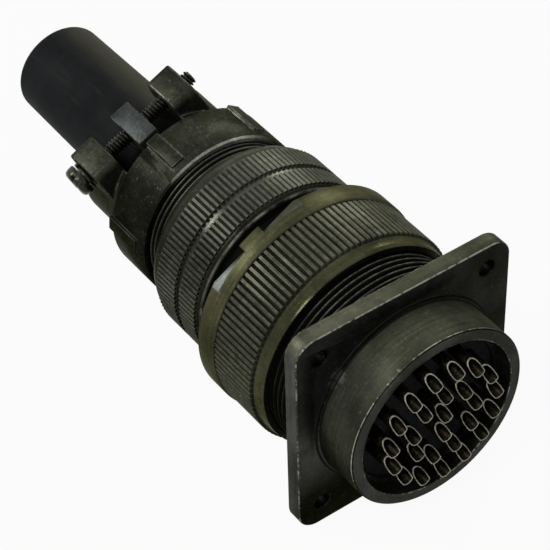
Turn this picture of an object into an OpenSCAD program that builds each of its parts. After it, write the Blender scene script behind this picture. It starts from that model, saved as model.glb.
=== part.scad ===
// Circular multi-pin connector: a square-flange receptacle, mated with a cable plug
// that ends in a back shell, a cable clamp and a rubber bushing.
// Millimetres. +X runs along the connector's axis towards the solder cups, +Z is up.
// The origin is the centre of the four flange holes, on the flange's solder-side face.
// Threads are plain cylinders at their outside diameters.

/* [Flange] */
// Width and height of the square mounting flange
flange_w = 50.8; // [48:0.1:56]
// Thickness of the flange
flange_t = 3.6; // [2.4:0.1:5]
// Corner radius of the flange
flange_corner_r = 4.6; // [3:0.1:6]
// Distance between neighbouring mounting holes
hole_spacing = 39.7; // [38.5:0.1:41]
// Diameter of the mounting holes
hole_d = 3.7; // [3:0.1:4.4]

/* [Contacts] */
// Contacts on the inner circle
contacts_inner = 2; // [2:1:3]
// Contacts on the middle circle
contacts_middle = 9; // [7:1:9]
// Contacts on the outer circle
contacts_outer = 15; // [12:1:16]
// Radius of the inner contact circle
circle_inner_r = 2.6; // [2.4:0.1:3]
// Radius of the middle contact circle
circle_middle_r = 7.6; // [7.2:0.1:8]
// Radius of the outer contact circle
circle_outer_r = 12.7; // [12.2:0.1:14]
// Diameter of a mating pin
pin_d = 1.58; // [1.3:0.02:1.7]
// Outside diameter of a solder cup
cup_d = 2.7; // [2.2:0.1:2.9]
// Wall of a solder cup
cup_wall = 0.35; // [0.2:0.05:0.5]
// Depth of a solder cup's bore
cup_depth = 6.2; // [5.5:0.1:7.5]
// Length of the scooped opening of a solder cup
scoop_len = 3.6; // [3:0.1:5]
// Turn of the scooped openings, from straight up towards -Y
scoop_turn = 6; // [0:1:45]
// How far the solder cups stand out past the receptacle's rear rim
cup_out = 2.8; // [2:0.1:6]
// Height of a contact's shoulder above the cup
shoulder_h = 0.35; // [0.25:0.05:0.5]
// Length of a contact's shoulder
shoulder_len = 1.8; // [1.2:0.1:2.4]
// Wall of a socket contact round its pin
socket_wall = 0.55; // [0.45:0.05:0.65]
// Length of a pin in front of the receptacle's insert
pin_out = 10.6; // [8:0.1:12]

/* [Receptacle] */
// Length of the threaded barrel in front of the flange
front_len = 19.0; // [16:0.1:22]
// Length of the solder barrel behind the flange
rear_len = 10.6; // [9:0.1:14]
// Depth of the insert's face below the rear rim
well_depth = 5.1; // [3:0.1:6]
// Insert left between the outer cups and the well's wall
insert_edge = 3.9; // [3:0.1:5]
// Wall of the solder barrel
rear_wall = 2.6; // [2:0.1:3.4]
// Height of the boss at the root of the solder barrel
boss_h = 0.7; // [0.6:0.1:1.6]
// Length of the boss at the root of the solder barrel
boss_len = 0.6; // [0.6:0.1:2]
// Step from the well out to the mating cavity
cavity_step = 1.9; // [1.4:0.1:2.4]
// Solid left between the flange and the cavity's floor
floor_t = 2.8; // [2:0.1:4]
// Wall between the cavity and the outside of the coupling thread
thread_wall = 2.4; // [2:0.1:3]
// Width of the plug's key
key_w = 3.2; // [2.6:0.1:4]
// Height of the plug's key
key_h = 0.8; // [0.6:0.05:0.9]

/* [Coupling nut] */
// Wall from the nut's thread out to the knurl's crests
nut_wall = 2.2; // [1.9:0.1:3]
// Length of the nut in front of its inner lip
nut_reach = 13.05; // [11:0.05:15]
// Thickness of the nut's inner lip
lip_t = 2.9; // [2:0.1:3.6]
// Length of the nut behind its inner lip
nut_tail = 4.3; // [3.4:0.1:5]
// Length of the plain collar at the nut's rear end
collar_len = 5.3; // [4:0.1:6]
// Height of the plain collar above the knurl
collar_h = 0.4; // [0.2:0.05:0.8]
// Length of the plain band in front of the nut's knurl
nut_band_len = 2.5; // [1.5:0.1:3.5]
// How far the nut's front edge lies below the knurl
nut_front_drop = 1.1; // [0.8:0.05:1.6]
// Number of grooves in the nut's knurl
nut_grooves = 110; // [60:1:140]
// Depth of the nut's knurl
nut_groove_h = 0.7; // [0.4:0.05:0.9]
// Depth of the two flats in the collar's rear rim
flat_h = 2.9; // [2:0.1:3.2]
// Length of the two flats along the axis
flat_len = 2.4; // [1.4:0.1:2.8]
// Width of the tab that stands in the middle of each flat
tab_w = 5.2; // [3:0.1:7]
// Turn of the nut as it sits, from straight up towards -Y
nut_turn = 29; // [0:1:90]

/* [Plug] */
// Wall of the plug's barrel
plug_wall = 1.6; // [1.3:0.1:1.7]
// Thickness of the shoulder that the nut pulls on
shoulder_t = 3.2; // [2.4:0.1:4]
// Step from the mating barrel out to the nut's seat
neck_h = 0.3; // [0.1:0.05:0.4]
// Step from the nut's seat in to the rear thread
tail_h = 0.9; // [0.6:0.1:1]
// Thickness of the snap rings
ring_t = 1.1; // [0.8:0.1:1.4]
// Depth of the grooves that hold the snap rings
ring_seat = 0.6; // [0.4:0.05:0.8]
// Height of the snap rings above their seats
ring_h = 0.9; // [0.6:0.1:1.2]
// Length of the plug's inserts together
insert_len = 15.2; // [13:0.1:17]
// How far the plug's solder cups stand out behind the insert
plug_cup_out = 8.0; // [6.5:0.1:9]

/* [Back shell] */
// Gap between the nut's rear end and the back shell
shell_gap = 4.0; // [3:0.1:7]
// Wall of the back shell over the plug's rear thread
shell_wall = 3.0; // [2.4:0.1:4]
// Length of the plain rim at the back shell's front
shell_rim_len = 1.5; // [0.8:0.1:3]
// Length of the front knurl
knurl_front_len = 5.3; // [4:0.1:8]
// Width of the groove between the knurls
shell_groove_w = 1.6; // [0.6:0.1:2]
// Length of the rear knurl
knurl_rear_len = 6.1; // [4:0.1:9]
// Plain band behind the rear knurl
shell_rear_rim_len = 1.6; // [0.8:0.1:3]
// Chamfer behind the rear knurl, measured along the axis
shell_chamfer_len = 1.8; // [1:0.1:3]
// Chamfer behind the rear knurl, measured inwards
shell_chamfer_h = 1.5; // [0.8:0.1:1.8]
// Number of grooves in the back shell's knurl
shell_grooves = 116; // [60:1:150]
// Depth of the back shell's knurl
shell_groove_h = 0.55; // [0.3:0.05:0.7]
// Diameter of the thread that carries the clamp
clamp_thread_d = 36.4; // [34:0.1:37]
// Length of thread left bare in front of the clamp
thread_bare = 5.3; // [3:0.1:7]
// Length of thread inside the clamp
thread_held = 5.6; // [4:0.1:6.4]
// Wall of the back shell inside its rear thread
shell_bore_wall = 3.3; // [2.6:0.1:4]

/* [Cable clamp] */
// Turn of the clamp, from straight up towards -Y
clamp_turn = 25; // [0:1:90]
// Length of the clamp's ring
clamp_ring_len = 11.6; // [10.6:0.1:14]
// Wall of the clamp's ring over its thread
clamp_wall = 1.55; // [1.3:0.05:2]
// Number of ribs round the clamp's ring
clamp_ribs = 6; // [4:1:8]
// Width of a rib
rib_w = 3.2; // [2:0.1:5]
// Height of a rib
rib_h = 0.7; // [0.3:0.05:1]
// Plain length in front of the ribs
rib_setback = 2.0; // [1:0.1:3]
// Thickness of the web at the back of the clamp's ring
web_t = 3.0; // [2.4:0.1:3.6]
// Width of the slot between the ring and a lug
lug_slot_w = 3.0; // [1.5:0.1:4]
// Depth of the slot between the ring and a lug
lug_slot_h = 2.5; // [1.5:0.1:3.5]
// Length of a lug along the axis
lug_len = 11.1; // [10:0.1:13]
// Width of a lug
lug_w = 4.9; // [4:0.1:6]
// Metal over the screw in a lug and in a saddle's ear
screw_cover = 1.3; // [1:0.1:1.8]
// Radius of the saddles' ears where they round off
ear_corner_r = 2.2; // [1:0.1:2.6]
// Length of a saddle's ear along the axis
ear_len = 10.6; // [9:0.1:11.4]
// Width of a saddle's ear along the screw
ear_w = 6.1; // [5:0.1:7]
// Half of the space between the ears of the two saddles
ear_gap = 7.9; // [6.6:0.1:8.4]
// Wall of a saddle round the bushing
saddle_wall = 4.9; // [4:0.1:5.2]
// Length of a saddle along the axis
saddle_len = 14.5; // [13:0.1:16]
// Gap between the clamp's ring and the saddles
saddle_gap = 1.6; // [0.6:0.1:2]
// Diameter of the clamp screws
screw_d = 3.5; // [3:0.1:3.9]
// Height of a clamp screw's axis above the bushing
screw_rise = 3.8; // [3.4:0.1:4.6]
// Distance of the clamp screws behind the front of the lugs
screw_setback = 6.6; // [5.5:0.1:7.4]
// Length that a clamp screw stands out past its saddle
screw_out = 1.8; // [1:0.1:4]
// Diameter of a screw head
head_d = 6.8; // [6.4:0.1:8]
// Height of a screw head
head_h = 2.4; // [1.8:0.1:3]
// Width of a screw head's slot
head_slot_w = 1.0; // [0.8:0.1:1.2]
// Depth of a screw head's slot
head_slot_h = 1.1; // [0.7:0.1:1.3]
// Outside diameter of a lock washer
washer_d = 6.4; // [6:0.1:7]
// Thickness of a lock washer
washer_t = 1.1; // [0.8:0.1:1.4]
// Width of the split in a lock washer
washer_split_w = 0.8; // [0.4:0.1:1.2]

/* [Bushing] */
// Outside diameter of the bushing
bushing_d = 22.4; // [20:0.1:23.4]
// Bore of the bushing
bushing_bore_d = 16.0; // [12:0.1:18]
// Length of the bushing behind the clamp's ring
bushing_out = 51.7; // [40:0.1:60]
// Taper of the bushing's radius towards its free end
bushing_taper = 0.5; // [0:0.05:0.8]
// Radius at the bushing's free end
bushing_round = 1.2; // [0.6:0.1:1.5]
// Height of the bead at the bushing's inner end
bead_h = 1.3; // [0.8:0.1:1.8]

/* [Clearances] */
// Radial play of the plug in the receptacle
slide_play = 0.1; // [0.05:0.01:0.15]
// Play between pieces that turn or slide past each other
run_play = 0.28; // [0.2:0.01:0.35]
// Play between pieces of one body
seat_play = 0.06; // [0.03:0.01:0.1]
// Radial play of a pin in its socket
pin_play = 0.06; // [0.04:0.01:0.08]
// Radial play of a clamp screw in its holes
screw_play = 0.08; // [0.05:0.01:0.15]
// Small chamfer on turned edges
edge = 0.4; // [0.2:0.05:0.5]

/* [Hidden] */
$fn = 96;
cup_r = cup_d / 2;
pin_r = pin_d / 2;
shoulder_r = cup_r + shoulder_h;
socket_r = pin_r + pin_play + socket_wall;
well_r = circle_outer_r + cup_r + insert_edge;
rear_r = well_r + rear_wall;
cavity_r = well_r + cavity_step;
thread_r = cavity_r + thread_wall;
stop_h = ring_h;

// Stations along the axis, from the solder side towards the cable
x_cup_end = rear_len + cup_out;
x_insert_face = rear_len - well_depth;
x_floor = -flange_t - floor_t;
x_stop = x_floor + ring_t;
x_insert_split = (x_insert_face + x_stop) / 2;
x_pin_tip = x_stop - pin_out;
x_mouth = -flange_t - front_len;

plug_r = cavity_r - slide_play;
plug_bore_r = plug_r - plug_wall;
neck_r = plug_r + neck_h;
tail_r = neck_r - tail_h;
x_plug_nose = x_floor - run_play;
x_plug_insert = x_plug_nose - ring_t;
x_plug_insert_end = x_plug_insert - insert_len;
x_plug_split = (x_plug_insert + x_plug_insert_end) / 2;
x_socket_end = x_plug_insert_end - plug_cup_out;
x_shoulder = x_mouth - run_play;
x_shoulder_end = x_shoulder - shoulder_t;

nut_bore_r = thread_r + run_play;
nut_r = nut_bore_r + nut_wall;
collar_r = nut_r + collar_h;
x_lip = x_shoulder_end - run_play;
x_lip_end = x_lip - lip_t;
x_nut_front = x_lip + nut_reach;
x_nut_rear = x_lip_end - nut_tail;
x_collar = x_nut_rear + collar_len;
flat_r = collar_r - flat_h;
nut_recess_r = flat_r - edge;
x_snap = x_lip_end - run_play;

shell_bore_r = tail_r + seat_play;
shell_r = shell_bore_r + shell_wall;
x_shell_front = x_nut_rear - shell_gap;
x_knurl_front = x_shell_front - shell_rim_len;
x_groove = x_knurl_front - knurl_front_len;
x_knurl_rear = x_groove - shell_groove_w;
x_knurl_end = x_knurl_rear - knurl_rear_len;
x_rear_rim = x_knurl_end - shell_rear_rim_len;
x_shell_step = x_rear_rim - shell_chamfer_len;
x_shell_end = x_shell_step - thread_bare - thread_held;
x_plug_tail = x_groove - shell_groove_w;
clamp_thread_r = clamp_thread_d / 2;
shell_rear_bore_r = clamp_thread_r - shell_bore_wall;

bushing_r = bushing_d / 2;
clamp_bore_r = clamp_thread_r + seat_play;
clamp_r = clamp_bore_r + clamp_wall;
x_clamp = x_shell_step - thread_bare;
x_clamp_end = x_clamp - clamp_ring_len;
x_web = x_clamp_end + web_t;
x_lug = x_clamp_end - lug_slot_w;
x_screw = x_lug - screw_setback;
screw_r = screw_d / 2;
screw_z = bushing_r + screw_rise;
lug_top = screw_z + screw_r + screw_cover;
grip_r = bushing_r + run_play;
saddle_r = grip_r + saddle_wall;
x_saddle = x_clamp_end - saddle_gap;
ear_face = ear_gap + ear_w;
x_bushing_in = x_shell_end - seat_play;
x_bushing_out = x_clamp_end - bushing_out;

contact_count = contacts_inner + contacts_middle + contacts_outer;
contact_spots = concat(
    [for (i = [0 : contacts_inner - 1]) [circle_inner_r, i * 360 / contacts_inner]],
    [for (i = [0 : contacts_middle - 1]) [circle_middle_r, i * 360 / contacts_middle]],
    [for (i = [0 : contacts_outer - 1]) [circle_outer_r, 180 + i * 360 / contacts_outer]]
);

function pin_name(i) = str("pin_contact_", i < 9 ? "0" : "", i + 1);

olive = [0.20, 0.20, 0.15];
olive_dark = [0.15, 0.15, 0.12];
rubber_black = [0.09, 0.09, 0.10];
insert_black = [0.07, 0.07, 0.07];
gilt = [0.72, 0.66, 0.48];
steel = [0.45, 0.44, 0.40];

// A solid of revolution about the X axis; each point is [radius, x].
module turned(points) {
    rotate([0, 90, 0])
        rotate_extrude()
            polygon(points);
}

// A straight cylinder along X, from one station to another.
module rod_x(r, x_from, x_to) {
    translate([min(x_from, x_to), 0, 0])
        rotate([0, 90, 0])
            cylinder(r = r, h = abs(x_to - x_from));
}

// Puts children at a contact's place in the insert.
module at_contact(i) {
    spot = contact_spots[i];
    translate([0, spot[0] * sin(spot[1]), spot[0] * cos(spot[1])])
        children();
}

// A straight knurl: a prism whose outline has one groove per step.
module knurl(r, depth, grooves, x_from, x_to) {
    step = 360 / grooves;
    outline = [
        for (i = [0 : grooves - 1], p = [[-0.24, 0], [0.24, 0], [0.42, 1], [0.58, 1]])
            (r - p[1] * depth) * [cos((i + p[0]) * step), sin((i + p[0]) * step)]
    ];
    translate([min(x_from, x_to), 0, 0])
        rotate([0, 90, 0])
            linear_extrude(abs(x_to - x_from))
                polygon(outline);
}

// A flat snap ring between two radii.
module snap_ring(r_in, r_out, x_from) {
    turned([[r_in, x_from], [r_out, x_from], [r_out, x_from - ring_t], [r_in, x_from - ring_t]]);
}

// The square plate of the flange with its four rounded corners.
module flange_plate() {
    reach = flange_w / 2 - flange_corner_r;
    translate([-flange_t, 0, 0])
        rotate([0, 90, 0])
            linear_extrude(flange_t) {
                square([2 * reach, flange_w], center = true);
                square([flange_w, 2 * reach], center = true);
                for (y = [-reach, reach], z = [-reach, reach])
                    translate([z, y])
                        circle(r = flange_corner_r);
            }
}

module receptacle_shell() {
    key_slot_w = key_w + 2 * run_play;
    color(olive)
        difference() {
            union() {
                flange_plate();
                turned([
                    [0, -flange_t / 2], [thread_r, -flange_t / 2], [thread_r, x_mouth + 2 * edge],
                    [thread_r - 2 * edge, x_mouth], [0, x_mouth]
                ]);
                turned([
                    [0, -flange_t / 2], [rear_r + boss_h, -flange_t / 2], [rear_r + boss_h, boss_len - edge],
                    [rear_r + boss_h - edge, boss_len], [rear_r, boss_len], [rear_r, rear_len - edge],
                    [rear_r - edge, rear_len], [0, rear_len]
                ]);
            }
            rod_x(well_r, x_stop, rear_len + edge);
            rod_x(well_r - stop_h, x_floor - edge, x_stop + edge);
            rod_x(cavity_r, x_mouth - edge, x_floor);
            rod_x(well_r + ring_seat, x_insert_face, x_insert_face + ring_t + seat_play);
            translate([x_mouth - edge, -key_slot_w / 2, 0])
                cube([x_floor - x_mouth + edge, key_slot_w, cavity_r + key_h + slide_play]);
            for (y = [-1, 1], z = [-1, 1])
                translate([0, y * hole_spacing / 2, z * hole_spacing / 2])
                    rod_x(hole_d / 2, -flange_t - edge, edge);
        }
}

module receptacle_snap_ring() {
    color(steel)
        snap_ring(well_r - ring_h, well_r + ring_seat - seat_play, x_insert_face + ring_t);
}

// An insert half, bored for every contact, with half of each shoulder's pocket in its split face.
module insert_half(r, x_split, x_face, bore_r) {
    side = sign(x_face - x_split);
    x_pocket = x_split + side * (shoulder_len / 2 + seat_play);
    difference() {
        rod_x(r, x_split, x_face);
        for (i = [0 : contact_count - 1])
            at_contact(i) {
                rod_x(bore_r, x_split - side * edge, x_face + side * edge);
                rod_x(shoulder_r + seat_play, x_split - side * edge, x_pocket);
            }
    }
}

module receptacle_front_insert() {
    color(insert_black)
        insert_half(
            well_r - seat_play, x_insert_split - seat_play / 2,
            x_stop + seat_play, pin_r + pin_play
        );
}

module receptacle_rear_insert() {
    color(insert_black)
        insert_half(
            well_r - seat_play, x_insert_split + seat_play / 2,
            x_insert_face - seat_play, cup_r + pin_play
        );
}

// Cuts a solder cup's bore and the slope of its scoop; side is 1 when the cup opens towards +X.
module cup_cut(x_end, side) {
    sill = -0.3 * cup_r;
    slope = (cup_r - sill) / scoop_len;
    x_top = x_end - side * (scoop_len + edge / slope);
    x_out = x_end + side * edge;
    rod_x(cup_r - cup_wall, x_end - side * cup_depth, x_out);
    rotate([scoop_turn, 0, 0])
        rotate([90, 0, 0])
            linear_extrude(3 * cup_r, center = true)
                polygon([[x_top, cup_r + edge], [x_out, sill - edge * slope], [x_out, cup_r + edge]]);
}

module pin_contact(i) {
    x_back = x_insert_split + shoulder_len / 2;
    x_fore = x_insert_split - shoulder_len / 2;
    color(gilt)
        at_contact(i)
            difference() {
                turned([
                    [0, x_pin_tip], [pin_r / 2, x_pin_tip], [pin_r, x_pin_tip + pin_r], [pin_r, x_fore],
                    [shoulder_r, x_fore], [shoulder_r, x_back], [cup_r, x_back], [cup_r, x_cup_end],
                    [0, x_cup_end]
                ]);
                cup_cut(x_cup_end, 1);
            }
}

module socket_contact(i) {
    x_back = x_plug_split - shoulder_len / 2;
    x_fore = x_plug_split + shoulder_len / 2;
    x_nose = x_plug_insert - seat_play;
    color(gilt)
        at_contact(i)
            difference() {
                turned([
                    [0, x_nose], [socket_r, x_nose], [socket_r, x_fore], [shoulder_r, x_fore],
                    [shoulder_r, x_back], [cup_r, x_back], [cup_r, x_socket_end], [0, x_socket_end]
                ]);
                rod_x(pin_r + pin_play, x_pin_tip - run_play, x_nose + edge);
                cup_cut(x_socket_end, -1);
            }
}

module socket_contacts_inner() {
    for (i = [0 : contacts_inner - 1])
        socket_contact(i);
}

module socket_contacts_middle() {
    for (i = [contacts_inner : contacts_inner + contacts_middle - 1])
        socket_contact(i);
}

module socket_contacts_outer() {
    for (i = [contacts_inner + contacts_middle : contact_count - 1])
        socket_contact(i);
}

module plug_front_insert() {
    color(insert_black)
        insert_half(
            plug_bore_r - seat_play, x_plug_split + seat_play / 2,
            x_plug_insert - seat_play, socket_r + pin_play
        );
}

module plug_rear_insert() {
    color(insert_black)
        insert_half(
            plug_bore_r - seat_play, x_plug_split - seat_play / 2,
            x_plug_insert_end + seat_play, cup_r + pin_play
        );
}

module plug_snap_ring() {
    color(steel)
        snap_ring(plug_bore_r - ring_h, plug_bore_r + ring_seat - seat_play, x_plug_insert_end);
}

module plug_barrel() {
    shoulder_edge_r = nut_bore_r - run_play;
    key_len = x_plug_nose - x_shoulder;
    color(olive_dark)
        difference() {
            union() {
                turned([
                    [0, x_plug_nose], [plug_r - edge, x_plug_nose], [plug_r, x_plug_nose - edge],
                    [plug_r, x_shoulder], [shoulder_edge_r, x_shoulder], [shoulder_edge_r, x_shoulder_end],
                    [neck_r, x_shoulder_end], [neck_r, x_shell_front + run_play],
                    [tail_r, x_shell_front + run_play], [tail_r, x_plug_tail], [0, x_plug_tail]
                ]);
                translate([x_shoulder, -key_w / 2, 0])
                    cube([key_len - edge, key_w, cavity_r + key_h - slide_play]);
            }
            rod_x(plug_bore_r - stop_h, x_plug_insert - edge, x_plug_nose + edge);
            rod_x(plug_bore_r, x_plug_tail - edge, x_plug_insert);
            rod_x(plug_bore_r + ring_seat, x_plug_insert_end, x_plug_insert_end - ring_t - seat_play);
            difference() {
                rod_x(neck_r + edge, x_snap, x_snap - ring_t - seat_play);
                rod_x(neck_r - ring_seat, x_snap + edge, x_snap - ring_t - edge);
            }
        }
}

module nut_snap_ring() {
    color(steel)
        snap_ring(neck_r - ring_seat + seat_play, neck_r + ring_h, x_snap);
}

// The knurled nut; a chord is cut off its rear rim on two sides, with a tab left standing in each.
module coupling_nut() {
    band_r = nut_r - nut_groove_h - edge / 4;
    tooth_end_h = nut_r + edge - band_r;
    x_band = x_nut_front - nut_band_len;
    color(olive)
        rotate([nut_turn, 0, 0])
            difference() {
                union() {
                    intersection() {
                        knurl(nut_r, nut_groove_h, nut_grooves, x_collar - edge, x_nut_front);
                        turned([
                            [0, x_collar - 2 * edge], [nut_r + edge, x_collar - 2 * edge],
                            [nut_r + edge, x_band - tooth_end_h], [band_r, x_band],
                            [nut_r - nut_front_drop, x_nut_front], [0, x_nut_front]
                        ]);
                    }
                    turned([
                        [0, x_collar], [collar_r - edge / 2, x_collar], [collar_r, x_collar - edge / 2],
                        [collar_r, x_nut_rear + edge], [collar_r - edge, x_nut_rear], [0, x_nut_rear]
                    ]);
                }
                rod_x(nut_bore_r, x_lip, x_nut_front + edge);
                rod_x(neck_r + run_play / 2, x_nut_rear, x_nut_front);
                rod_x(nut_recess_r, x_nut_rear - edge, x_lip_end);
                for (turn = [0, 180], side = [0, 1])
                    rotate([turn, 0, 0])
                        mirror([0, side, 0])
                            translate([x_nut_rear - edge, tab_w / 2, flat_r])
                                cube([flat_len + edge, collar_r, 2 * flat_h]);
            }
}

module back_shell() {
    rim_r = shell_r - shell_groove_h - edge / 4;
    step_r = shell_r - shell_chamfer_h;
    color(olive)
        difference() {
            union() {
                turned([
                    [0, x_shell_front], [rim_r - edge, x_shell_front], [rim_r, x_shell_front - edge],
                    [rim_r, x_rear_rim], [step_r, x_shell_step],
                    [clamp_thread_r, x_shell_step], [clamp_thread_r, x_shell_end + edge],
                    [clamp_thread_r - edge, x_shell_end], [0, x_shell_end]
                ]);
                knurl(shell_r, shell_groove_h, shell_grooves, x_knurl_front, x_groove);
                knurl(shell_r, shell_groove_h, shell_grooves, x_knurl_rear, x_knurl_end);
            }
            rod_x(shell_bore_r, x_shell_front + edge, x_plug_tail - run_play);
            rod_x(shell_rear_bore_r, x_shell_front, x_shell_end - edge);
        }
}

// A lug that carries one clamp screw, standing behind the ring on a lower strap.
module clamp_lug() {
    strap_z = lug_top - lug_slot_h;
    low_z = grip_r + edge;
    difference() {
        union() {
            translate([x_lug - lug_len, -lug_w / 2, low_z])
                cube([lug_len, lug_w, lug_top - low_z]);
            translate([x_lug - lug_len, -lug_w / 2, low_z])
                cube([x_clamp_end - x_lug + lug_len + edge, lug_w, strap_z - low_z]);
        }
        translate([x_screw, 0, screw_z])
            rotate([90, 0, 0])
                cylinder(r = screw_r + screw_play, h = 2 * lug_w, center = true);
    }
}

module clamp_body() {
    color(olive_dark)
        rotate([clamp_turn, 0, 0])
            difference() {
                union() {
                    turned([
                        [0, x_clamp], [clamp_r - edge, x_clamp], [clamp_r, x_clamp - edge],
                        [clamp_r, x_clamp_end + edge], [clamp_r - edge, x_clamp_end], [0, x_clamp_end]
                    ]);
                    for (i = [0 : clamp_ribs - 1])
                        rotate([i * 360 / clamp_ribs, 0, 0])
                            translate([x_clamp_end, -rib_w / 2, 0])
                                cube([clamp_ring_len - rib_setback, rib_w, clamp_r + rib_h]);
                    for (turn = [0, 180])
                        rotate([turn, 0, 0])
                            clamp_lug();
                }
                rod_x(clamp_bore_r, x_web, x_clamp + edge);
                rod_x(bushing_r + seat_play, x_clamp_end - lug_len - 2 * lug_slot_w, x_web + edge);
            }
}

// The bushing is a tapered sleeve with a bead inside the clamp and a rounded free end.
module cable_bushing() {
    end_r = bushing_r - bushing_taper;
    bore_r = bushing_bore_d / 2;
    x_taper = x_saddle - saddle_len;
    color(rubber_black)
        turned(concat(
            [
                [bore_r, x_bushing_in], [bushing_r + bead_h, x_bushing_in],
                [bushing_r + bead_h, x_web + seat_play], [bushing_r, x_web + seat_play], [bushing_r, x_taper]
            ],
            [for (a = [0 : 15 : 90]) [
                end_r - bushing_round + bushing_round * cos(a), x_bushing_out + bushing_round * (1 - sin(a))
            ]],
            [[bore_r, x_bushing_out]]
        ));
}

// The outline of an ear seen along its screw: flat-topped with rounded upper corners.
module ear_outline() {
    half = ear_len / 2;
    top = screw_r + screw_cover;
    translate([-half, -screw_z])
        square([ear_len, screw_z + top - ear_corner_r]);
    translate([-half + ear_corner_r, -screw_z])
        square([ear_len - 2 * ear_corner_r, screw_z + top]);
    for (side = [-1, 1])
        translate([side * (half - ear_corner_r), top - ear_corner_r])
            circle(r = ear_corner_r);
}

// The saddle on the +Y side of the clamp: half of a ring with an ear at each end.
module saddle() {
    x_end = x_saddle - saddle_len;
    difference() {
        union() {
            intersection() {
                rod_x(saddle_r, x_saddle, x_end);
                translate([x_end - edge, ear_gap, -saddle_r])
                    cube([saddle_len + 2 * edge, saddle_r, 2 * saddle_r]);
            }
            for (turn = [0, 1])
                mirror([0, 0, turn])
                    translate([x_screw, ear_face, screw_z])
                        rotate([90, 0, 0])
                            linear_extrude(ear_w)
                                ear_outline();
        }
        rod_x(grip_r, x_saddle + edge, x_end - edge);
        for (z = [-screw_z, screw_z])
            translate([x_screw, 0, z])
                rotate([-90, 0, 0])
                    cylinder(r = screw_r + screw_play, h = 2 * ear_face);
    }
}

module clamp_saddle_right() {
    color(olive)
        rotate([clamp_turn, 0, 0])
            saddle();
}

module clamp_saddle_left() {
    color(olive)
        rotate([clamp_turn, 0, 0])
            mirror([0, 1, 0])
                saddle();
}

// A slotted pan-head screw that lies across the clamp, with its head on the -Y side.
module clamp_screw(z) {
    y_seat = -ear_face - washer_t;
    y_tip = ear_face + screw_out;
    color(steel)
        rotate([clamp_turn, 0, 0])
            translate([x_screw, 0, z])
                rotate([-90, 0, 0])
                    difference() {
                        rotate_extrude()
                            polygon([
                                [0, y_seat - head_h], [head_d / 2 - 2 * edge, y_seat - head_h],
                                [head_d / 2 - edge / 2, y_seat - head_h + edge],
                                [head_d / 2, y_seat - head_h / 2], [head_d / 2, y_seat - edge / 2],
                                [head_d / 2 - edge / 2, y_seat], [screw_r, y_seat],
                                [screw_r, y_tip - edge], [screw_r - edge, y_tip], [0, y_tip]
                            ]);
                        translate([-head_d, -head_slot_w / 2, y_seat - head_h - edge])
                            cube([2 * head_d, head_slot_w, head_slot_h + edge]);
                    }
}

module clamp_screw_upper() {
    clamp_screw(screw_z);
}

module clamp_screw_lower() {
    clamp_screw(-screw_z);
}

// A split spring washer under a screw head.
module lock_washer(z) {
    color(steel)
        rotate([clamp_turn, 0, 0])
            translate([x_screw, -ear_face - washer_t, z])
                rotate([-90, 0, 0])
                    difference() {
                        cylinder(d = washer_d, h = washer_t);
                        translate([0, 0, -edge])
                            cylinder(r = screw_r + 2 * screw_play, h = washer_t + 2 * edge);
                        rotate([0, 0, 35])
                            translate([0, -washer_split_w / 2, -edge])
                                cube([washer_d, washer_split_w, washer_t + 2 * edge]);
                    }
}

module lock_washer_upper() {
    lock_washer(screw_z);
}

module lock_washer_lower() {
    lock_washer(-screw_z);
}

receptacle_shell();
receptacle_front_insert();
receptacle_rear_insert();
receptacle_snap_ring();
plug_barrel();
plug_front_insert();
plug_rear_insert();
plug_snap_ring();
socket_contacts_inner();
socket_contacts_middle();
socket_contacts_outer();
coupling_nut();
nut_snap_ring();
back_shell();
clamp_body();
cable_bushing();
clamp_saddle_left();
clamp_saddle_right();
clamp_screw_upper();
clamp_screw_lower();
lock_washer_upper();
lock_washer_lower();
for (i = [0 : contact_count - 1])
    pin_contact(i);
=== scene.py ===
# %% [markdown]
# # A round multi-pin connector, dressed in Blender
#
# The CAD model already holds every piece in its place: the flanged receptacle, the plug, the
# knurled nut, the back shell and the cable clamp. This lesson adds what the solids leave out: real
# screw threads, softened edges, and finishes with the wear that handling leaves, with light and
# shade painted into several of them.

# %% Load the frame
import math

import bmesh
import bpy
from mathutils import Matrix, Vector


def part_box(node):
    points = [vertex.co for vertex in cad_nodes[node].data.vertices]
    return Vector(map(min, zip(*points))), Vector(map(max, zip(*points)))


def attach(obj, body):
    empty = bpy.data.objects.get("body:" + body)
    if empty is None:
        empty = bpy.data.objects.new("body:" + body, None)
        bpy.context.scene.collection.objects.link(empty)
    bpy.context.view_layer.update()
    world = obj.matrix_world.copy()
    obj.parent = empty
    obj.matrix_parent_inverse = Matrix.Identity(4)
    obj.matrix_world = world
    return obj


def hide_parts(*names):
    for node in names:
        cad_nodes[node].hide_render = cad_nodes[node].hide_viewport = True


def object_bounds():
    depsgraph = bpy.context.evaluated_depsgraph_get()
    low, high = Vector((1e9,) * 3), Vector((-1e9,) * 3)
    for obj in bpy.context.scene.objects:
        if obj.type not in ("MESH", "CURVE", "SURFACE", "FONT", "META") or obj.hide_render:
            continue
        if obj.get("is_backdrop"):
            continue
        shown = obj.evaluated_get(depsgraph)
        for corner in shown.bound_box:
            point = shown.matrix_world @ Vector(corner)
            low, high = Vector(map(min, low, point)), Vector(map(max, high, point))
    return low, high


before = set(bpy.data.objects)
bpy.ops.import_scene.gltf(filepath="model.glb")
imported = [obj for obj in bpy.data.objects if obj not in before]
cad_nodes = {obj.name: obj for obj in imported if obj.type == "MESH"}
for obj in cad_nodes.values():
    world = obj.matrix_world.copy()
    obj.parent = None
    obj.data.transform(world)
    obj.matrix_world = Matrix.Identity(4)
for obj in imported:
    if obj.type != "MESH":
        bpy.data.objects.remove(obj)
cad_low, cad_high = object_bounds()
MM = 0.001
box_mm = [round(v / MM, 1) for v in (*cad_low, *cad_high)]
print("CAD nodes:", len(cad_nodes), "box in mm:", box_mm)

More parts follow.
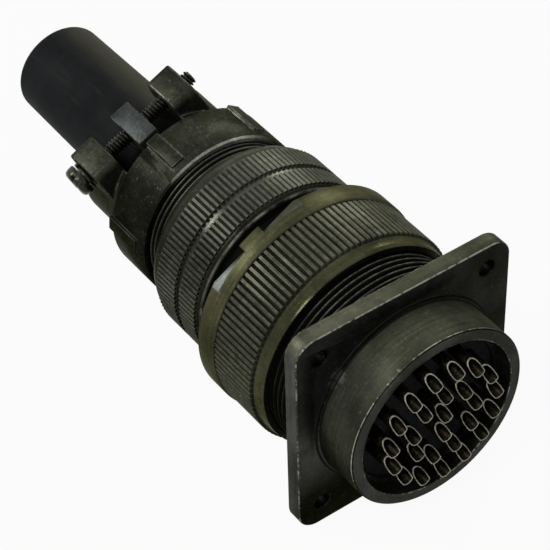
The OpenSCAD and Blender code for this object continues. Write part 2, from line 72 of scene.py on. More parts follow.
# %% [markdown]
# ## The camera
#
# The photograph was taken from above the solder side with a long lens. Its place was solved from
# the flange's corners and the round edges, so it is written here as a position and three
# directions.

# %% Camera
CAMERA_SPOT = (0.24302, -0.19804, 0.32922)
view_right = Vector((0.58862, 0.80807, -0.02364))
view_up = Vector((-0.5483, 0.42054, 0.72285))
view_back = Vector((0.59405, -0.41252, 0.6906))
camera_data = bpy.data.cameras.new("camera")
camera_data.sensor_width = 36.0
camera_data.lens = 154.1
camera_data.clip_start = 0.01
camera_data.clip_end = 20.0
camera = bpy.data.objects.new("camera", camera_data)
turn = Matrix((view_right, view_up, view_back)).transposed().to_4x4()
camera.matrix_world = Matrix.Translation(CAMERA_SPOT) @ turn
bpy.context.scene.collection.objects.link(camera)
bpy.context.scene.camera = camera
print("camera looks along", [round(-v, 3) for v in view_back])

# %% [markdown]
# ## Softened copies of the solids
#
# A CAD edge is perfectly sharp, and no real edge is. A cut or turned edge keeps a tiny round that
# catches a line of light. A copy of the CAD mesh has its loose triangles merged, flat areas joined
# back into single faces, and a narrow bevel put on its sharp edges.

# %% Helpers for copies
MERGE_GAP = 0.002 * MM
FLAT_ANGLE = math.radians(0.2)


def merged_copy(node):
    """A bmesh of a CAD node with its triangles joined into whole faces."""
    bm = bmesh.new()
    bm.from_mesh(cad_nodes[node].data)
    bmesh.ops.remove_doubles(bm, verts=bm.verts, dist=MERGE_GAP)
    bmesh.ops.dissolve_limit(bm, angle_limit=FLAT_ANGLE, verts=bm.verts, edges=bm.edges)
    return bm


def as_piece(bm, name):
    """Turns a bmesh into an object at the origin."""
    mesh = bpy.data.meshes.new(name)
    bm.to_mesh(mesh)
    bm.free()
    piece = bpy.data.objects.new(name, mesh)
    bpy.context.scene.collection.objects.link(piece)
    return piece


def bake_modifiers(piece):
    """Writes the result of a piece's modifiers into its mesh."""
    graph = bpy.context.evaluated_depsgraph_get()
    baked = bpy.data.meshes.new_from_object(piece.evaluated_get(graph))
    piece.modifiers.clear()
    old = piece.data
    piece.data = baked
    bpy.data.meshes.remove(old)
    baked.name = piece.name


def soften(piece, width, segments=2, angle=38, clamp=False):
    """Rounds the edges that are sharper than the angle; the new faces take the second material."""
    bevel = piece.modifiers.new("soft edges", "BEVEL")
    bevel.width = width * MM
    bevel.segments = segments
    bevel.limit_method = "ANGLE"
    bevel.angle_limit = math.radians(angle)
    bevel.use_clamp_overlap = clamp
    bevel.material = 1
    for _ in range(2 - len(piece.data.materials)):
        piece.data.materials.append(None)
    bake_modifiers(piece)


def settle(piece, node, body, angle=32):
    """Puts a finished piece in its CAD node's stead."""
    piece.data.shade_smooth()
    piece.data.set_sharp_from_angle(angle=math.radians(angle))
    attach(piece, body)
    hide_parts(node)
    print(piece.name, "faces:", len(piece.data.polygons))


# %% [markdown]
# ## Screw threads
#
# The solids carry their threads as plain cylinders. A real thread is one groove wound round the
# cylinder, so a cutter with the groove's section is spun along a right-handed helix and then
# subtracted. Bumps in the material would look flat from the side; a cut groove has a true outline.
# The groove's depth, the half widths of its foot and its mouth, and the height by which the cutter
# stands out of it are all parts of a pitch.

# %% Helpers for threads
GROOVE_DEPTH, GROOVE_FOOT, GROOVE_MOUTH, OVERCUT = 0.6, 0.07, 0.44, 0.1


def wind(corners, pitch, turns, steps):
    """Winds a section, given as points (x, r) in millimetres, along a helix about X towards -X."""
    bm = bmesh.new()
    face = bm.faces.new([bm.verts.new((x, 0, r)) for x, r in corners])
    bmesh.ops.spin(
        bm, geom=[face, *face.edges, *face.verts], cent=(0, 0, 0), axis=(-1, 0, 0),
        dvec=(-pitch * turns / steps, 0, 0), angle=2 * math.pi * turns, steps=steps,
        use_merge=False,
    )
    bmesh.ops.holes_fill(bm, edges=[e for e in bm.edges if e.is_boundary], sides=0)
    bmesh.ops.recalc_face_normals(bm, faces=bm.faces)
    return bm


def thread_cutter(crest_r, pitch, x_from, x_to, steps_per_turn=64):
    """A helical bar with a thread groove's section."""
    depth = GROOVE_DEPTH * pitch
    top = OVERCUT * pitch
    slope = (GROOVE_MOUTH - GROOVE_FOOT) * pitch / depth
    section = [
        (x_from + GROOVE_FOOT * pitch, crest_r - depth),
        (x_from + GROOVE_MOUTH * pitch + slope * top, crest_r + top),
        (x_from - GROOVE_MOUTH * pitch - slope * top, crest_r + top),
        (x_from - GROOVE_FOOT * pitch, crest_r - depth),
    ]
    turns = (x_from - x_to) / pitch
    return wind(section, pitch, turns, round(turns * steps_per_turn))


def cut_thread(piece, cutter_bm, place=Matrix.Identity(4)):
    """Subtracts a thread cutter from a piece."""
    bmesh.ops.transform(cutter_bm, matrix=place @ Matrix.Scale(MM, 4), verts=cutter_bm.verts)
    cutter = as_piece(cutter_bm, "cutter")
    groove = piece.modifiers.new("thread", "BOOLEAN")
    groove.operation = "DIFFERENCE"
    groove.solver = "EXACT"
    groove.object = cutter
    bake_modifiers(piece)
    bpy.data.objects.remove(cutter)


# %% [markdown]
# ## The receptacle shell
#
# One turned and milled piece: the square flange, the solder barrel and the threaded mating barrel.
# Its outer edges are rounded first. The coupling thread then runs from just behind the flange out
# past the mouth, so that it starts and ends as a cut thread does.

# %% Receptacle shell
COUPLING_R, COUPLING_PITCH = 22.25, 1.411
COUPLING_FROM, COUPLING_TO = -4.75, -23.6
FLANGE_ROUND = 0.22
receptacle = as_piece(merged_copy("receptacle_shell"), "receptacle_shell_threaded")
soften(receptacle, FLANGE_ROUND, angle=50)
cut_thread(receptacle, thread_cutter(COUPLING_R, COUPLING_PITCH, COUPLING_FROM, COUPLING_TO))
settle(receptacle, "receptacle_shell", "receptacle")

# %% [markdown]
# ## The coupling nut
#
# The nut's straight knurl is pressed in by a toothed wheel and its two flats are milled, which
# leaves a tab between them. Every edge gets a very narrow round, so each tooth shows its own line
# of light.

# %% Coupling nut
NUT_ROUND = 0.09
nut = as_piece(merged_copy("coupling_nut"), "coupling_nut_knurled")
soften(nut, NUT_ROUND, segments=1, angle=30, clamp=True)
settle(nut, "coupling_nut", "nut")

# %% [markdown]
# ## The back shell
#
# A sleeve with two knurled bands between plain ones. The thread behind it stays partly bare in
# front of the clamp.

# %% Back shell
CLAMP_THREAD_R, CLAMP_PITCH = 18.2, 1.27
CLAMP_THREAD_FROM, CLAMP_THREAD_TO = -56.2, -67.5
SHELL_ROUND = 0.08
back_shell = as_piece(merged_copy("back_shell"), "back_shell_threaded")
soften(back_shell, SHELL_ROUND, segments=1, angle=30, clamp=True)
clamp_groove = thread_cutter(CLAMP_THREAD_R, CLAMP_PITCH, CLAMP_THREAD_FROM, CLAMP_THREAD_TO)
cut_thread(back_shell, clamp_groove)
settle(back_shell, "back_shell", "plug")

# %% [markdown]
# ## The clamp
#
# The ring with its lugs and the two saddles are small castings, so their edges are rounder than
# those of the turned pieces.

# %% Clamp castings
RING_ROUND, SADDLE_ROUND = 0.25, 0.45
clamp_ring = as_piece(merged_copy("clamp_body"), "clamp_body_cast")
soften(clamp_ring, RING_ROUND, angle=50)
settle(clamp_ring, "clamp_body", "plug")
saddles = []
for side in ("left", "right"):
    saddle = as_piece(merged_copy("clamp_saddle_" + side), "clamp_saddle_%s_cast" % side)
    soften(saddle, SADDLE_ROUND, segments=3)
    settle(saddle, "clamp_saddle_" + side, "saddle_" + side)
    saddles.append(saddle)

# %% [markdown]
# ## The clamp screws
#
# Two slotted screws lie across the clamp. Their axis is turned with the clamp, so the thread
# cutter, which is made along X, is turned to lie along the screw first. A screw stops at any angle,
# and these stop with the slot's end in view.

# %% Clamp screws
CLAMP_TURN = math.radians(25)
SCREW_X, SCREW_Z = -81.96, 15.0
SCREW_R, SCREW_PITCH = 1.75, 0.794
SCREW_FROM, SCREW_TO = 13.0, -16.4
SLOT_TURN = math.radians(75)


def along_screw(height):
    """Lays a shape that was made along X along a clamp screw."""
    lie = Matrix.Rotation(CLAMP_TURN, 4, "X")
    lie = lie @ Matrix.Translation(Vector((SCREW_X, 0, height)) * MM)
    return lie @ Matrix.Rotation(math.radians(-90), 4, "Z")


def clamp_screw(name, height):
    """A slotted screw with its thread."""
    screw = as_piece(merged_copy("clamp_screw_" + name), "clamp_screw_%s_threaded" % name)
    lie = along_screw(height)
    groove_bm = thread_cutter(SCREW_R, SCREW_PITCH, SCREW_FROM, SCREW_TO, steps_per_turn=32)
    cut_thread(screw, groove_bm, lie)
    screw.data.transform(lie @ Matrix.Rotation(SLOT_TURN, 4, "X") @ lie.inverted())
    settle(screw, "clamp_screw_" + name, "screw_" + name, angle=48)
    return screw


# %% [markdown]
# ## The split washers
#
# Under each screw's head is a spring washer: flat wire wound into not quite one turn, so it stands
# open at its ends. The same winding that makes the thread cutters makes it. Each screw is then
# made together with its washer.

# %% Split washers
WASHER_X, WASHER_T = 15.07, 0.70
WASHER_IN, WASHER_OUT = 1.95, 3.15
WASHER_RISE, WASHER_TURNS, WASHER_STEPS = 0.38, 0.94, 44
WASHER_ROUND = 0.12
SCREW_HEIGHTS = {"upper": SCREW_Z, "lower": -SCREW_Z}


def split_washer(name, height):
    """A spring washer under a screw's head."""
    flat_wire = [
        (WASHER_X, WASHER_IN), (WASHER_X, WASHER_OUT),
        (WASHER_X - WASHER_T, WASHER_OUT), (WASHER_X - WASHER_T, WASHER_IN),
    ]
    wire_bm = wind(flat_wire, WASHER_RISE, WASHER_TURNS, WASHER_STEPS)
    lie = along_screw(height) @ Matrix.Scale(MM, 4)
    bmesh.ops.transform(wire_bm, matrix=lie, verts=wire_bm.verts)
    washer = as_piece(wire_bm, "lock_washer_%s_split" % name)
    soften(washer, WASHER_ROUND)
    settle(washer, "lock_washer_" + name, "saddle_left")
    return washer


screws, washers = {}, []
for name, height in SCREW_HEIGHTS.items():
    screws[name] = clamp_screw(name, height)
    washers.append(split_washer(name, height))

# %% [markdown]
# ## The pins' solder cups
#
# Each pin ends in a drilled cup whose upper side is scooped away, so that a wire can be laid in
# and soldered. The scoop bites in steeply and runs out flat, which gives the opening a round end.
# A copy of the CAD pin is cut off below the bore, and the cut's own edge is extruded: out to the
# scooped rim, in across the wall, down the bore, and closed with a floor. So stem and cup are one
# closed shape. The rim is bare, bright metal.

# %% The shape of a cup
CUP_R, CUP_BORE, BORE_TAPER = 1.35, 1.12, 0.04
CUP_FROM, CUP_FLOOR, CUP_END = 6.6, 7.2, 13.4
SCOOP_SILL, SCOOP_STEEP, SCOOP_EASE = -0.4, 2.5, 0.427
RIM_ROUND = 0.05


def scoop_reach(height):
    """How far out the cup's wall reaches at a height over the cup's axis."""
    above = max(height - SCOOP_SILL, 0.0)
    return CUP_END - SCOOP_STEEP * above + SCOOP_EASE * above * above


def open_edges(bm):
    return [e for e in bm.edges if e.is_boundary]


def cup_ring(bm, edges, radius, floor=None):
    """Extrudes a ring of edges to a new radius, at the scooped rim or down on the floor."""
    made = bmesh.ops.extrude_edge_only(bm, edges=edges)["geom"]
    ring = {v for v in made if isinstance(v, bmesh.types.BMVert)}
    for v in ring:
        y, z = Vector((v.co.y, v.co.z)).normalized() * radius
        v.co = (scoop_reach(z) if floor is None else floor, y, z)
    return [e for e in made if isinstance(e, bmesh.types.BMEdge) and ring.issuperset(e.verts)]


def draw_cup(bm):
    """Draws a cup on a stem that lies along X, in millimetres, and is open at its cut."""
    bmesh.ops.subdivide_edges(bm, edges=open_edges(bm), cuts=1)
    outer = cup_ring(bm, open_edges(bm), CUP_R)
    wall = set(bm.faces)
    inner = cup_ring(bm, outer, CUP_BORE)
    rim = set(bm.faces) - wall
    cup_ring(bm, inner, CUP_BORE - BORE_TAPER, CUP_FLOOR)
    bmesh.ops.contextual_create(bm, geom=open_edges(bm))
    for face in bm.faces:
        face.material_index = int(face in rim)
    rounds = bmesh.ops.bevel(
        bm, geom=outer + inner, offset=RIM_ROUND, segments=1, profile=0.5, affect="EDGES",
        material=-1, clamp_overlap=True,
    )
    for face in rounds["faces"]:
        face.material_index = 1
    bmesh.ops.recalc_face_normals(bm, faces=bm.faces)


# %% [markdown]
# ## The pins in their places
#
# The cups are pressed in by hand, so no two scoops face quite the same way. Each pin is brought to
# the axis, leaned a little, given its cup and put back.

# %% Pins
SCOOP_TURN, SCOOP_WOBBLE, WOBBLE_STEP = math.radians(6), 0.07, 5.0
pins = []
for node in sorted(n for n in cad_nodes if n.startswith("pin_contact")):
    bm = merged_copy(node)
    bmesh.ops.bisect_plane(
        bm, geom=[*bm.verts, *bm.edges, *bm.faces], plane_co=(CUP_FROM * MM, 0, 0),
        plane_no=(1, 0, 0), clear_outer=True,
    )
    low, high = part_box(node)
    axis = Matrix.Translation((0, (low.y + high.y) / 2, (low.z + high.z) / 2))
    lean = SCOOP_TURN + SCOOP_WOBBLE * math.sin(WOBBLE_STEP * len(pins))
    spot = axis @ Matrix.Rotation(lean, 4, "X") @ Matrix.Scale(MM, 4)
    bmesh.ops.transform(bm, matrix=spot.inverted(), verts=bm.verts)
    draw_cup(bm)
    bmesh.ops.transform(bm, matrix=spot, verts=bm.verts)
    pin = as_piece(bm, node + "_cup")
    pin.data.materials.append(None)
    pin.data.materials.append(None)
    settle(pin, node, "receptacle")
    pins.append(pin)

# %% [markdown]
# ## Shader maths as arithmetic
#
# A finish is built from nodes, and long chains of Math nodes are hard to read. The small class
# below wraps a socket and answers to + - * and /, so a mask reads like a formula.

# %% Wires
class Wire:
    """A node's output that can be used in arithmetic."""

    def __init__(self, paint, socket):
        self.paint = paint
        self.socket = socket

    def maths(self, operation, *values):
        return self.paint.add("ShaderNodeMath", {"operation": operation}, dict(enumerate(values)))

    def __add__(self, other):
        return self.maths("ADD", self, other)

    def __sub__(self, other):
        return self.maths("SUBTRACT", self, other)

    def __rsub__(self, other):
        return self.maths("SUBTRACT", other, self)

    def __mul__(self, other):
        return self.maths("MULTIPLY", self, other)

    def __truediv__(self, other):
        return self.maths("DIVIDE", self, other)

    __radd__ = __add__
    __rmul__ = __mul__

    def size(self):
        return self.maths("ABSOLUTE", self)

    def larger(self, other):
        return self.maths("MAXIMUM", self, other)

    def smaller(self, other):
        return self.maths("MINIMUM", self, other)

    def ramp(self, low, high):
        """0 at low, 1 at high, and a smooth step between."""
        return self.paint.add(
            "ShaderNodeMapRange", {"interpolation_type": "SMOOTHSTEP"},
            {"Value": self, "From Min": low, "From Max": high},
        )

    def between(self, low, high, soft=0.06):
        """1 from low to high, and 0 outside."""
        return self.ramp(low - soft, low + soft) * self.ramp(high + soft, high - soft)


# %% [markdown]
# ## Paints
#
# A paint is a material's node tree while it is being built. Every node comes from its one method,
# add. The others name what the finishes below need: a point on the object, noise, a mix of two
# colours, a ragged patch, bumps.

# %% Paints
# A noise has three settings: its scale, in patches to a millimetre, its detail and its roughness.
RAGGED_NOISE = (1.4, 4.0, 0.65)


class Paint:
    """The node tree of a material or a world, under construction."""

    def __init__(self, owner):
        self.owner = owner
        owner.use_nodes = True
        self.tree = owner.node_tree
        self.tree.nodes.clear()

    def add(self, kind, settings, values, out=0):
        """Adds a node, with its settings first and then the values or links of its sockets."""
        node = self.tree.nodes.new(kind)
        for key, value in settings.items():
            setattr(node, key, value)
        for key, value in values.items():
            if isinstance(value, Wire):
                self.tree.links.new(value.socket, node.inputs[key])
            else:
                node.inputs[key].default_value = value
        return Wire(self, node.outputs[out]) if len(node.outputs) else None

    def place(self, stretch=(1, 1, 1), turn=(0, 0, 0)):
        """The point on the object in millimetres."""
        spot = self.add("ShaderNodeTexCoord", {}, {}, out="Object")
        scale = tuple(s / MM for s in stretch)
        return self.add("ShaderNodeMapping", {}, {"Vector": spot, "Rotation": turn, "Scale": scale})

    def axes(self, place):
        return [self.add("ShaderNodeSeparateXYZ", {}, {"Vector": place}, out=k) for k in "XYZ"]

    def radius(self, y, z):
        squares = y * y + z * z
        return squares.maths("SQRT", squares)

    def noise(self, place, scale, detail, rough):
        values = {"Vector": place, "Scale": scale, "Detail": detail, "Roughness": rough}
        return self.add("ShaderNodeTexNoise", {}, values)

    def mix(self, factor, one, two, blend="MIX"):
        """Colour one where the factor is 0, colour two where it is 1."""
        one, two = (c if isinstance(c, Wire) else (*c, 1.0) for c in (one, two))
        settings = {"data_type": "RGBA", "blend_type": blend}
        return self.add("ShaderNodeMix", settings, {0: factor, 6: one, 7: two}, out=2)

    def tint(self, colour, gain):
        """A colour made paler or darker by a number."""
        return self.mix(1.0, colour, gain, blend="MULTIPLY")

    def near(self, place, point, size):
        """A ragged patch: 1 at a point, and 0 further from it than a size."""
        gap = self.add(
            "ShaderNodeVectorMath", {"operation": "DISTANCE"}, {0: place, 1: point}, out="Value"
        )
        return (gap / size + self.noise(place, *RAGGED_NOISE) * 1.6).ramp(1.75, 1.35)

    def bump(self, height, distance, strength=1.0):
        values = {"Height": height, "Distance": distance * MM, "Strength": strength}
        return self.add("ShaderNodeBump", {}, values, out="Normal")

    def surface(self, **values):
        """Ends a material in a Principled shader with the given sockets."""
        named = {key.replace("_", " "): value for key, value in values.items()}
        self.output(self.add("ShaderNodeBsdfPrincipled", {}, named))
        return self.owner

    def output(self, shader, kind="ShaderNodeOutputMaterial"):
        self.add(kind, {}, {"Surface": shader})


# %% [markdown]
# ## Giving a piece its finish
#
# A mesh keeps a list of materials, and each face holds a number in that list. The rounded edges
# have number 1, so where a piece gets two finishes, the second one lies on its rounds.

# %% Helpers for finishes
def finish_named(name):
    return Paint(bpy.data.materials.new(name))


def shade(tone, factor):
    return tuple(factor * c for c in tone)


def wear(piece, *finishes):
    """Gives a piece or a CAD node its finishes, kept in the order of the faces' numbers."""
    numbers = [min(p.material_index, len(finishes) - 1) for p in piece.data.polygons]
    piece.data.materials.clear()
    for finish in finishes:
        piece.data.materials.append(finish)
    piece.data.polygons.foreach_set("material_index", numbers)


# %% [markdown]
# ## Olive plating
#
# The metal pieces share one finish: a thin, very dark olive plating with a satin sheen. Hands and
# tools rub it paler on whatever stands highest, and dirt stays in whatever lies lowest. All these
# pieces are round about the X axis, so the distance from that axis says how high a spot stands.
# A zone is a stretch along the axis that has a thread or a knurl: its ends, its root and its
# crest, and how much of its dirt shows.

# %% Olive plating
BARE, DIRT, PAINTED_SHADE_DARK = (0.17, 0.17, 0.135), (0.0020, 0.0020, 0.0018), (0.0035, 0.0035, 0.003)
SHEEN = (0.5, 0.5, 0.46, 1.0)
METAL = 0.6
BLOTCH_NOISE, MOTTLE_NOISE = (0.13, 5.0, 0.6), (0.8, 5.0, 0.65)
GRAIN_NOISE, LINE_NOISE = (2.0, 3.0, 0.6), (1.5, 4.0, 0.65)
LINE_STRETCH = (1, 0.04, 0.04)
CAST_SKIN, TURNED_SKIN = 0.09, 0.025


def zone_wear(x, r, mottle, zones):
    """How far dirt fills the roots of the zones, and how far their crests are rubbed."""
    dirt, rubbed = None, None
    for low, high, root, crest, dirty in zones:
        inside = x.between(low, high)
        deep = inside * (1 - r.ramp(crest - 0.5 * (crest - root), crest - 0.03)) * dirty
        high_up = inside * r.ramp(crest - 0.14, crest - 0.01)
        high_up = high_up * (mottle.ramp(0.40, 0.62) * 0.7 + 0.3)
        dirt = deep if dirt is None else dirt.larger(deep)
        rubbed = high_up if rubbed is None else rubbed.larger(high_up)
    return dirt, rubbed


def olive_plating(name, tone, rough, zones=(), rub=0.0, cast=False, bands=(), painted_shade=None):
    """Olive plating, round about X. The tone is a colour or a function that gives one for each
    spot. Zones are (x low, x high, root, crest, dirt), and bands are smooth stretches (x low, x
    high). The last argument is a function that says how far painted shade hides everything else."""
    paint = finish_named(name)
    place = paint.place()
    x, y, z = paint.axes(place)
    r = paint.radius(y, z)
    blotch = paint.noise(place, *BLOTCH_NOISE)
    mottle = paint.noise(place, *MOTTLE_NOISE)
    grain = paint.noise(place, *GRAIN_NOISE)
    if cast:
        pattern = texture = mottle * 0.6 + grain * 0.4
    else:
        lines = paint.noise(paint.place(stretch=LINE_STRETCH), *LINE_NOISE)
        pattern = lines * 0.5 + mottle * 0.2 + grain * 0.3
        texture = lines * 0.6 + grain * 0.4
    gain = (blotch.ramp(0.30, 0.70) * 0.6 + 0.7) * (pattern.ramp(0.50, 0.66) * 0.55 + 1.0)
    gain = gain * (1 - pattern.ramp(0.48, 0.34) * 0.45)
    colour = paint.tint(tone(paint, x, y, z, r) if callable(tone) else tone, gain)
    specks = grain.ramp(0.60, 0.70) * mottle.ramp(0.46, 0.62) * 0.35
    colour = paint.mix(specks, colour, BARE)
    roughness, metal = (mottle - 0.5) * 0.25 + (blotch - 0.5) * 0.12 + rough, METAL
    for low, high in bands:
        roughness = roughness - x.between(low, high) * 0.20
    dirt, rubbed = zone_wear(x, r, mottle, zones)
    if dirt is not None:
        colour = paint.mix(rubbed * rub, paint.mix(dirt, colour, DIRT), BARE)
        roughness, metal = roughness + dirt * 0.25, metal - dirt * 0.55
    # Painted shade: where the given function says so, the plating is painted near black and loses
    # its metal.
    if painted_shade is not None:
        shade_amount = painted_shade(x, y, z) * (blotch.ramp(0.3, 0.6) * 0.3 + 0.7)
        colour, metal = paint.mix(shade_amount, colour, PAINTED_SHADE_DARK), metal * (1 - shade_amount * 0.8)
    return paint.surface(
        Base_Color=colour, Roughness=roughness, Metallic=metal, Specular_IOR_Level=0.0,
        Specular_Tint=SHEEN, Normal=paint.bump(texture, CAST_SKIN if cast else TURNED_SKIN, 0.7),
    )


# %% [markdown]
# ## Worn edges
#
# Plating is thinnest on an edge and goes there first. The rounds that soften the pieces have a
# material number of their own, so they can have a finish in which two noises, one broad and one
# fine, decide where bare metal shows.

# %% Worn edges
EDGE_PATCH_NOISE, EDGE_SPECK_NOISE = (0.22, 6.0, 0.7), (1.1, 4.0, 0.6)


def worn_edge(name, tone, low, high, bare=BARE, marks=None):
    """The narrow rounds along the edges, where plating is thin and patches of metal show."""
    paint = finish_named(name)
    place = paint.place()
    patch = paint.noise(place, *EDGE_PATCH_NOISE)
    speck = paint.noise(place, *EDGE_SPECK_NOISE)
    thin = patch * 0.6 + speck * 0.4
    if marks is None:
        bald = thin.ramp(low, high)
        colour = paint.mix(bald, tone, bare)
    else:
        # Marks give more wear, and painted shade that darkens the rounds and keeps wear off them.
        more, edge_shade = marks(paint, *paint.axes(place))
        bald = (thin + more).ramp(low, high) * (1 - edge_shade)
        colour = paint.mix(edge_shade, paint.mix(bald, tone, bare), shade(tone, 0.2))
    return paint.surface(
        Base_Color=colour, Roughness=0.42 - bald * 0.08, Metallic=METAL + bald * 0.2,
        Specular_IOR_Level=0.0, Specular_Tint=SHEEN, Normal=paint.bump(speck, 0.01, 0.5),
    )


# %% [markdown]
# ## The flange's finish
#
# The flange is nearly black on its face, with a painted glow of light on one corner and painted
# shade over its lower half. Its sides are painted paler than the face, with painted light and shade
# along them, and its holes are painted dark as shade. Masks from the point's own coordinates place
# all this, so it stays put from every side.

# %% Tones of the flange
FLANGE = (0.016, 0.017, 0.0145)
FLANGE_PAINTED_GLOW, FLANGE_PAINTED_SHADE = (0.055, 0.057, 0.051), (0.003, 0.003, 0.0026)
SIDE_LIT, SIDE_SHADED = (0.074, 0.076, 0.053), (0.043, 0.045, 0.030)
LEFT_SIDE_LIT, LEFT_SIDE_SHADED = (0.058, 0.059, 0.054), (0.035, 0.036, 0.034)
HOLE_PAINTED_SHADE = (0.004, 0.004, 0.004)
HOLE_AT, CORNER_AT = 19.85, 20.8


def flange_tone(paint, x, y, z):
    """Sides painted paler with painted light and shade, a painted glow on one corner of the face,
    and painted shade over its lower half and in the holes.
    """
    corner = paint.radius((y.size() - CORNER_AT).larger(0.0), (z.size() - CORNER_AT).larger(0.0))
    sides = corner.ramp(4.35, 4.55) * x.between(-3.7, 0.1)
    # Painted light and shade: the sides are painted paler than the face, and graded along their
    # length as the light falls on them.
    side_tone = paint.mix(y.ramp(-14, 4), SIDE_LIT, SIDE_SHADED)
    left_tone = paint.mix(z.ramp(2, -8), LEFT_SIDE_LIT, LEFT_SIDE_SHADED)
    side_tone = paint.mix(y.ramp(-24.6, -25.35), side_tone, left_tone)
    face = x.between(-0.2, 0.7)
    # Painted highlight: a soft glow of light on the face near its -Y edge.
    glow_corner = face * y.ramp(-14, -23) * z.ramp(-19, -8) * z.ramp(5, -3)
    colour = paint.mix(glow_corner, FLANGE, FLANGE_PAINTED_GLOW)
    # Painted shade: the face is painted darker towards the bottom.
    colour = paint.mix(face * z.ramp(-4, -20) * 0.85, colour, FLANGE_PAINTED_SHADE)
    colour = paint.mix(sides, colour, side_tone)
    # Painted shade: the insides of the holes are painted near black.
    hole = paint.radius(y.size() - HOLE_AT, z.size() - HOLE_AT).ramp(2.3, 1.95)
    return paint.mix(hole, colour, HOLE_PAINTED_SHADE)


# %% [markdown]
# ## The barrel's finish
#
# The solder barrel is more olive than the flange, and is painted darker on its -Y side and towards
# the bottom as painted shade. It has a grey rim with chips along it and a dark line painted as
# shade beside the rim, and the coupling thread is painted black on one side as painted shade.
# Flange and barrel are one piece, so one function puts their tones together, and a few scuffs are
# laid over both.

# %% Tones of the receptacle
BARREL_SHADED, BARREL_LIT = (0.031, 0.032, 0.023), (0.050, 0.052, 0.035)
BARREL_PAINTED_SHADE = (0.005, 0.005, 0.004)
RIM_GREY, RIM_SHADE_LINE, RIM_CHIPS = (0.044, 0.044, 0.040), (0.010, 0.010, 0.008), (0.30, 0.30, 0.25)
RIM_PATCH_NOISE, RIM_NICK_NOISE = (0.10, 3.0, 0.6), (0.8, 4.0, 0.6)
SCUFF = (0.16, 0.16, 0.14)
# Each scuff has a point in millimetres, a size and a strength.
SCUFFS = [
    ((0.6, -16.0, 13.5), 1.7, 0.30),
    ((0.5, -17.4, 11.9), 1.2, 0.22),
    ((9.9, -9.2, 18.3), 0.45, 0.7),
]


def receptacle_tone(paint, x, y, z, r):
    """The flange, and an olive barrel with painted shade on its -Y side and bottom, and a grey,
    chipped rim with a painted shade line.
    """
    # Painted light and shade: the barrel is painted lighter towards +Y and darker on its -Y side
    # and at the bottom.
    olive = paint.mix(y.ramp(-15, -5), BARREL_SHADED, BARREL_LIT)
    olive = paint.mix(z.ramp(6, -8) * 0.8, olive, BARREL_PAINTED_SHADE)
    barrel = x.ramp(0.7, 1.2) * r.ramp(19.6, 20.3)
    colour = paint.mix(barrel, flange_tone(paint, x, y, z), olive)
    colour = paint.mix(x.ramp(10.45, 10.58), colour, RIM_GREY)
    outside = r.ramp(20.0, 20.1)
    # Painted shade: a dark line on the chamfer between the barrel and its rim.
    colour = paint.mix(x.between(10.28, 10.5, 0.04) * outside, colour, RIM_SHADE_LINE)
    rim = x.between(10.10, 10.26, 0.03) * outside * (z - y * 0.7).ramp(2, 16)
    place = paint.place()
    patch, nick = paint.noise(place, *RIM_PATCH_NOISE), paint.noise(place, *RIM_NICK_NOISE)
    colour = paint.mix(rim * (patch * 0.6 + nick * 0.4).ramp(0.46, 0.54), colour, RIM_CHIPS)
    for point, size, strength in SCUFFS:
        colour = paint.mix(paint.near(place, point, size) * strength, colour, SCUFF)
    return colour


def thread_painted_shade(x, y, z):
    """Painted shade: the thread is painted black on its -Y side, where shade falls between nut and
    flange.
    """
    return x.ramp(-3.5, -3.9) * y.ramp(-7, -18) * 0.9


def receptacle_edge_marks(paint, x, y, z):
    """More wear along the flange's top edge; painted shade and no wear round the holes and at the
    boss.
    """
    hole = (y.size() - HOLE_AT).size().larger((z.size() - HOLE_AT).size()).ramp(4.0, 3.0)
    boss = x.between(-0.4, 1.0) * paint.radius(y, z).ramp(22.2, 21.8)
    top = z.ramp(24.6, 25.2) * x.ramp(-1.0, -0.5)
    # Painted shade: the rounds round the holes and in the boss's corner are painted dark.
    return top * 0.06, hole.larger(boss) * 0.9


THREAD_ZONE = (-22.7, -3.62, 21.45, COUPLING_R, 0.96)
EDGE_TONE, EDGE_BARE = (0.036, 0.037, 0.029), (0.24, 0.24, 0.20)
wear(
    receptacle,
    olive_plating(
        "receptacle plating", receptacle_tone, 0.44, [THREAD_ZONE], rub=0.55, painted_shade=thread_painted_shade
    ),
    worn_edge("receptacle edges", EDGE_TONE, 0.47, 0.60, EDGE_BARE, receptacle_edge_marks),
)
print("receptacle's materials:", len(receptacle.data.materials))

# %% [markdown]
# ## The nut's finish
#
# The knurl is plain olive with dirt between its teeth, and the whole nut is painted lighter towards
# +Y and darker on its -Y side as painted light and shade. The smooth bands beside it are a little
# yellower, the front chamfer is painted dark as shade, and the milled flats go from black beside
# the tab to pale metal at one end, with a painted reflection there. The flats lie at one height
# over a plane that is turned with the tab, so turned coordinates find them.

# %% Tones of the nut
NUT = (0.048, 0.050, 0.033)
NUT_PLAIN, NUT_CHAMFER_SHADE = (0.047, 0.047, 0.025), (0.020, 0.020, 0.014)
FLAT_DARK, FLAT_BARE_AND_REFLECTION = (0.007, 0.007, 0.005), (0.125, 0.135, 0.13)
FLAT_OLIVE = (0.070, 0.073, 0.055)
TAB_TURN, FLAT_HEIGHT = math.radians(-29), 22.23
KNURL_ZONE, NUT_BAND = (-28.3, -16.0, 24.03, 24.73, 0.68), (-15.8, -13.0)


